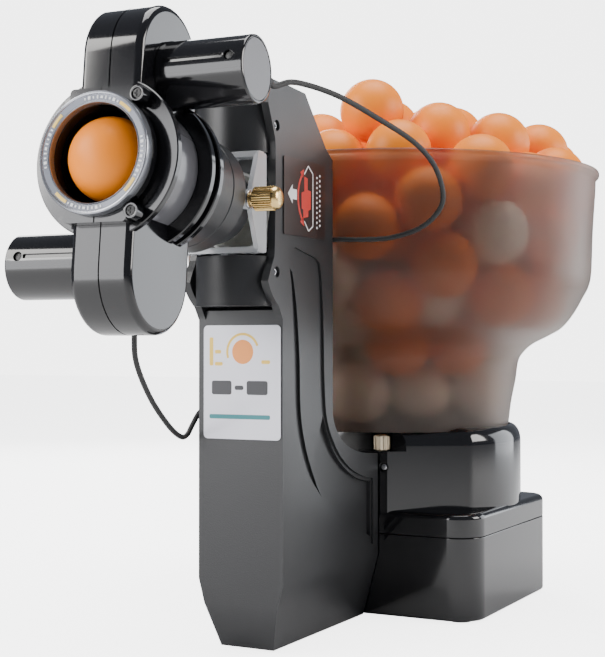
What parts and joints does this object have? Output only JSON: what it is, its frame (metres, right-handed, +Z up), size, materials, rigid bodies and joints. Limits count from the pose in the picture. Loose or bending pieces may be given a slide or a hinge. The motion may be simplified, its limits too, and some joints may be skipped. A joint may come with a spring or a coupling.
{
  "type": "table-tennis ball robot",
  "caption": "Table-tennis ball robot with a frosted ball hopper on a feed base, a slim column, a clear oscillating yoke and a tilting, rolling wheel-driven shooting head.",
  "frame": {"origin": "on the standing surface under the middle of the overall box", "axes": "-Y is the shooting direction at zero pan, +X is the side with the tilt knob, +Z is up"},
  "size_m": [0.2786, 0.4871, 0.3266],
  "materials": {
    "black_satin": "satin moulded, fine grain",
    "black_gloss": "glossy moulded",
    "smoky_frost": "frosted translucent",
    "clear": "polished clear",
    "brass": "knurled, turned",
    "steel": "bright",
    "black_rubber": "matt",
    "black_fittings": "matt",
    "wheel_rubber": "matt foam rubber",
    "white_plastic": "matt",
    "board_green": "solder mask",
    "silver_label": "silver printed film",
    "dark_label": "dark printed film"
  },
  "bodies": {
    "stand": {"ball_duct_lower": "white_plastic", "ball_duct_upper": "white_plastic", "base_cover": "black_gloss", "base_tray": "black_gloss", "board_heatsink": "steel", "cheek_screw_lower_left": "steel", "cheek_screw_lower_right": "steel", "cheek_screw_upper_left": "steel", "cheek_screw_upper_right": "steel", "column_left": "black_satin", "column_right": "black_satin", "control_board": "board_green", "feed_motor": "steel", "front_label": "silver_label", "hopper": "smoky_frost", "lower_lead": "black_rubber", "pan_servo": "black_fittings", "power_socket": "black_fittings", "power_switch_case": "black_fittings", "rear_lead_clip": "black_rubber", "rubber_pad_1": "black_rubber", "rubber_pad_2": "black_rubber", "rubber_pad_3": "black_rubber", "rubber_pad_4": "black_rubber", "rubber_pad_5": "black_rubber", "side_decal": "dark_label", "side_grommet": "black_rubber", "upper_lead": "black_rubber"},
    "pan": {"yoke_bracket": "clear", "pan_shaft": "steel", "pan_pin": "steel"},
    "tilt": {"tilt_tube": "black_satin", "tilt_pin": "steel", "tilt_washer": "steel"},
    "knob": {"tilt_knob": "brass"},
    "head": {"housing_left": "black_gloss", "housing_right": "black_gloss", "muzzle_block": "black_gloss", "muzzle_ring": "silver_label", "muzzle_screw_1": "steel", "muzzle_screw_2": "steel", "upper_motor": "steel", "lower_motor": "steel", "upper_motor_cover": "black_gloss", "lower_motor_cover": "black_gloss", "upper_motor_gland": "black_rubber", "lower_motor_gland": "black_rubber"},
    "upper_wheel": {"upper_wheel_hub": "white_plastic", "upper_wheel_tyre": "wheel_rubber", "upper_motor_shaft": "steel"},
    "lower_wheel": {"lower_wheel_hub": "white_plastic", "lower_wheel_tyre": "wheel_rubber", "lower_motor_shaft": "steel"},
    "feed": {"feed_rotor": "white_plastic", "feed_shaft": "steel"},
    "lock_right": {"hopper_lock_right": "brass"},
    "lock_left": {"hopper_lock_left": "brass"},
    "rocker": {"power_rocker": "black_fittings"}
  },
  "joints": [
    {"name": "pan", "type": "hinge", "parent": "stand", "child": "pan", "pos_m": [0, -0.11039, 0.2418], "axis": [0, 0, 1], "range_deg": [-19.3, 11.7], "deforming": ["upper_lead", "lower_lead"]},
    {"name": "tilt", "type": "hinge", "parent": "pan", "child": "tilt", "pos_m": [0.00137, -0.13105, 0.2418], "axis": [0.9978, 0.0663, 0], "range_deg": [-14, 15]},
    {"name": "roll", "type": "hinge", "parent": "tilt", "child": "head", "pos_m": [0.00137, -0.13105, 0.2418], "axis": [0.0659, -0.9927, 0.1011], "range_deg": [-90, 90]},
    {"name": "tilt_knob", "type": "hinge", "parent": "tilt", "child": "knob", "pos_m": [0.00137, -0.13105, 0.2418], "axis": [0.9978, 0.0663, 0], "continuous": true},
    {"name": "upper_wheel", "type": "hinge", "parent": "head", "child": "upper_wheel", "pos_m": [0.00575, -0.19704, 0.29325], "axis": [0.9978, 0.0663, 0], "continuous": true},
    {"name": "lower_wheel", "type": "hinge", "parent": "head", "child": "lower_wheel", "pos_m": [0.00635, -0.20602, 0.2047], "axis": [0.9978, 0.0663, 0], "continuous": true},
    {"name": "feed_rotor", "type": "hinge", "parent": "stand", "child": "feed", "pos_m": [0, 0.10421, 0.058], "axis": [0, 0, 1], "continuous": true},
    {"name": "lock_right", "type": "hinge", "parent": "stand", "child": "lock_right", "pos_m": [0.0255, 0.03711, 0.102], "axis": [0, 0, 1], "continuous": true},
    {"name": "lock_left", "type": "hinge", "parent": "stand", "child": "lock_left", "pos_m": [-0.0255, 0.03711, 0.102], "axis": [0, 0, 1], "continuous": true},
    {"name": "power_rocker", "type": "hinge", "parent": "stand", "child": "rocker", "pos_m": [-0.028, 0.17621, 0.021], "axis": [1, 0, 0], "range_deg": [-8, 8]}
  ]
}
